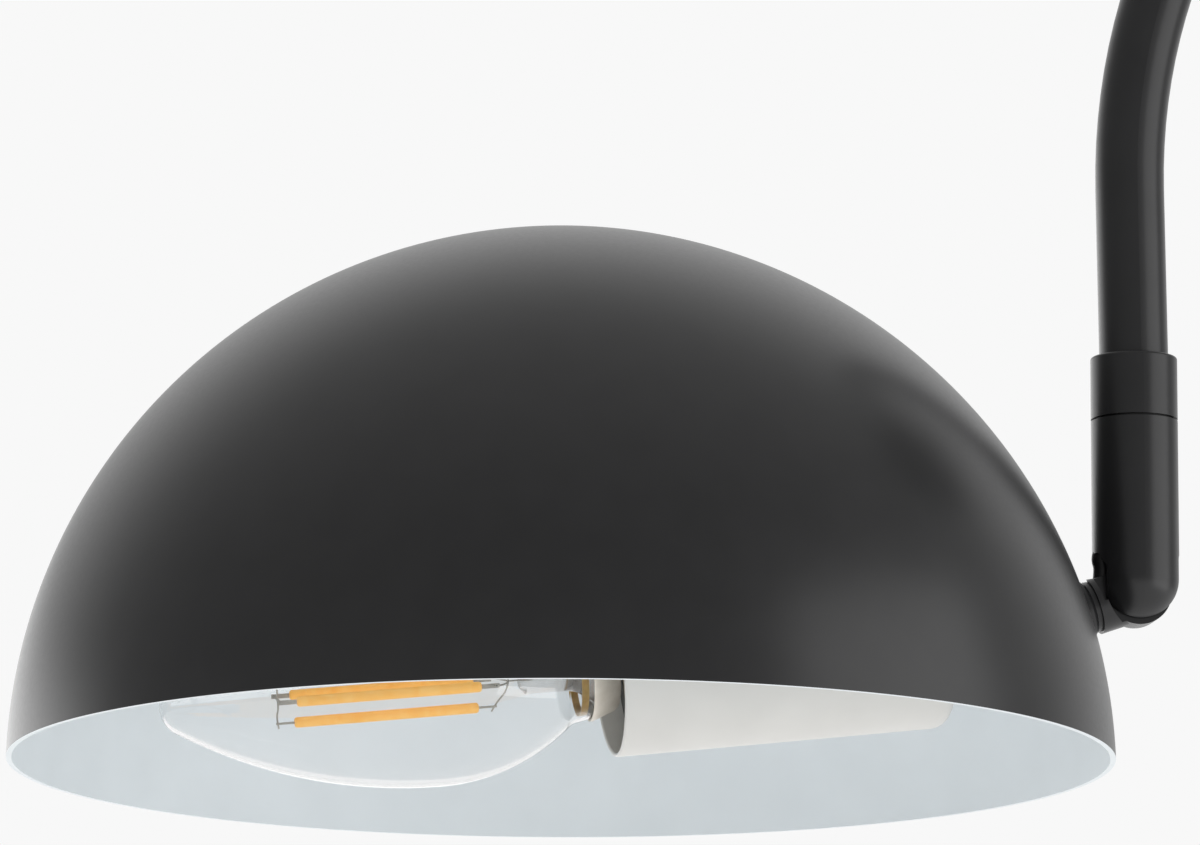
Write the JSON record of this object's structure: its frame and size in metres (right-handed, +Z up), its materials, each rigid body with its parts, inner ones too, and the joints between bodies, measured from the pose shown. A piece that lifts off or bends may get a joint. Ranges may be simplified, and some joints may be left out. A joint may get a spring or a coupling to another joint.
{
  "type": "wall sconce",
  "caption": "Wall lamp: bent tube arm from a round wall plate to a swivelling, tilting half-sphere shade with a candle bulb inside.",
  "frame": {"origin": "middle of the wall strap's back face, between its two screw slots, on the wall", "axes": "+Z up; +Y into the wall, so the lamp stands out along -Y; +X to the side"},
  "size_m": [0.1999, 0.3662, 0.2858],
  "materials": {
    "black_paint": "satin powder coat, black",
    "white_paint": "satin paint, warm white",
    "bare_steel": "zinc-plated steel",
    "nickel": "nickel plate",
    "brass": "turned brass",
    "solder": "dull tin solder",
    "white_plastic": "moulded plastic, white",
    "dark_plastic": "moulded thermoset, black",
    "nylon": "nylon washer, black",
    "ceramic": "glazed insulator, white",
    "black_glass": "black glass insulator",
    "clear_glass": "clear blown glass",
    "phosphor": "yellow phosphor on filament sticks",
    "cement": "amber capping cement",
    "flex_sheath": "black flex sheath"
  },
  "bodies": {
    "arm": {"wall_strap": "bare_steel", "wall_plate": "black_paint", "side_screws": "black_paint", "terminal_block": "white_plastic", "terminal_tubes": "brass", "stiffener_disc": "bare_steel", "toothed_washer": "bare_steel", "nipple_nut": "bare_steel", "arm_nipple": "bare_steel", "arm_ferrule": "black_paint", "arm_tube": "black_paint", "arm_flex": "flex_sheath", "swivel_collar": "black_paint", "gap_washer": "nylon", "stop_pin": "bare_steel"},
    "knuckle": {"knuckle_body": "black_paint", "swivel_stud": "bare_steel", "spring_washer": "bare_steel", "stud_nut": "bare_steel", "tilt_pin": "black_paint", "tilt_washers": "bare_steel", "knuckle_flex": "flex_sheath"},
    "shade": {"tilt_stub": "black_paint", "cone_seat": "black_paint", "inner_washer": "bare_steel", "coupling_nut": "bare_steel", "shade_dome": "black_paint", "bent_nipple": "bare_steel", "holder_flex": "flex_sheath", "holder_cover": "white_paint", "cover_nut": "bare_steel", "holder_cap": "dark_plastic", "holder_body": "dark_plastic", "holder_insert": "ceramic", "thread_shell": "nickel", "centre_contact": "brass"},
    "bulb": {"bulb_glass": "clear_glass", "cap_cement": "cement", "bulb_cap": "nickel", "cap_insulator": "black_glass", "end_contact": "solder", "bulb_stem": "clear_glass", "filaments": "phosphor", "filament_wires": "nickel"}
  },
  "joints": [
    {"name": "swivel", "type": "hinge", "parent": "arm", "child": "knuckle", "pos_m": [0, -0.15956, -0.16211], "axis": [0, 0, 1], "range_deg": [-120, 120]},
    {"name": "shade_tilt", "type": "hinge", "parent": "knuckle", "child": "shade", "pos_m": [0, -0.15956, -0.19391], "axis": [1, 0, 0], "range_deg": [-28, 70], "deforming": ["knuckle_flex"]},
    {"name": "bulb_withdraw", "type": "slide", "parent": "shade", "child": "bulb", "axis": [0, -0.9942, -0.108], "range_m": [0, 0.018]}
  ]
}
